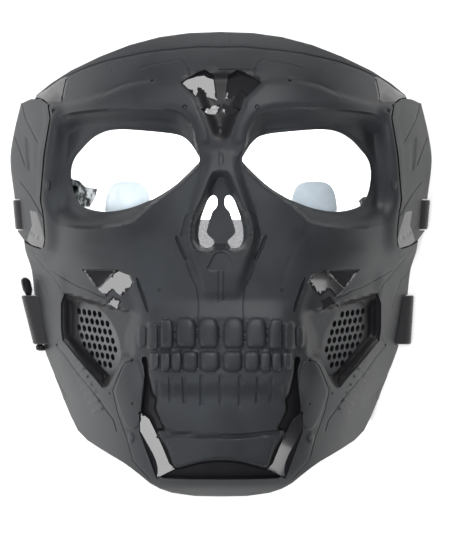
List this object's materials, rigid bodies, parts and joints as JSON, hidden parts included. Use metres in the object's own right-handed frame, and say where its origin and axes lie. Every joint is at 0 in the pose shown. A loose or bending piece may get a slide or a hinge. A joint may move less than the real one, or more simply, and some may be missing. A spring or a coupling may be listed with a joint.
{
  "type": "skull mask",
  "caption": "Rigid full-face skull mask with clear eye lenses, perforated cheek grilles and elastic straps, lying face up on its rear rim.",
  "frame": {"origin": "middle of the bounding box in the plane of the rear rim, on which the mask lies", "axes": "+Z out of the face, +Y to the top of the forehead, +X to the viewer's right"},
  "size_m": [0.216, 0.2366, 0.1179],
  "materials": {
    "shell": "matt black injection moulding, polished in its hollows",
    "grille": "perforated black sheet",
    "lens": "clear polycarbonate",
    "gloss_trim": "glossy black moulding",
    "webbing": "ribbed woven elastic"
  },
  "bodies": {
    "root": {"face_shell": "shell", "temple_plate_left": "shell", "temple_plate_right": "shell", "cheek_grille_left": "grille", "cheek_grille_right": "grille", "lens_left": "lens", "lens_right": "lens", "lens_clip_left": "gloss_trim", "lens_clip_right": "gloss_trim", "strap_upper": "webbing", "strap_lower": "webbing", "strap_keeper": "gloss_trim"}
  },
  "joints": []
}
